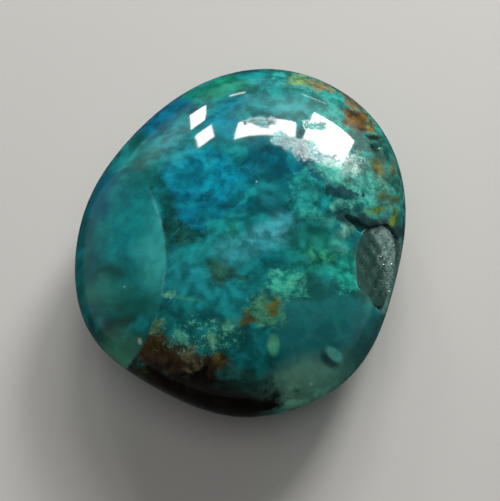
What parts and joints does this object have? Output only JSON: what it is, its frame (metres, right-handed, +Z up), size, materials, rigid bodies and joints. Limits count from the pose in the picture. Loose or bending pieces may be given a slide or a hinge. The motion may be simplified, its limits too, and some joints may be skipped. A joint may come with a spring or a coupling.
{
  "type": "polished gemstone freeform",
  "caption": "Polished freeform of blue-green gem silica with a low domed crown, a lens-shaped facet on one side, a flat ground back and a hollow lined with tiny quartz points.",
  "frame": {"origin": "middle of the flat ground back, under the middle of the stone's bounding box", "axes": "+Z up out of the back through the crown, +Y along the longest measure of the outline, +X to the side with the hollow"},
  "size_m": [0.0278, 0.033, 0.0118],
  "materials": {
    "chalcedony": "polished",
    "quartz": "gloss"
  },
  "bodies": {
    "root": {"stone": "chalcedony", "quartz_crust": "quartz"}
  },
  "joints": []
}
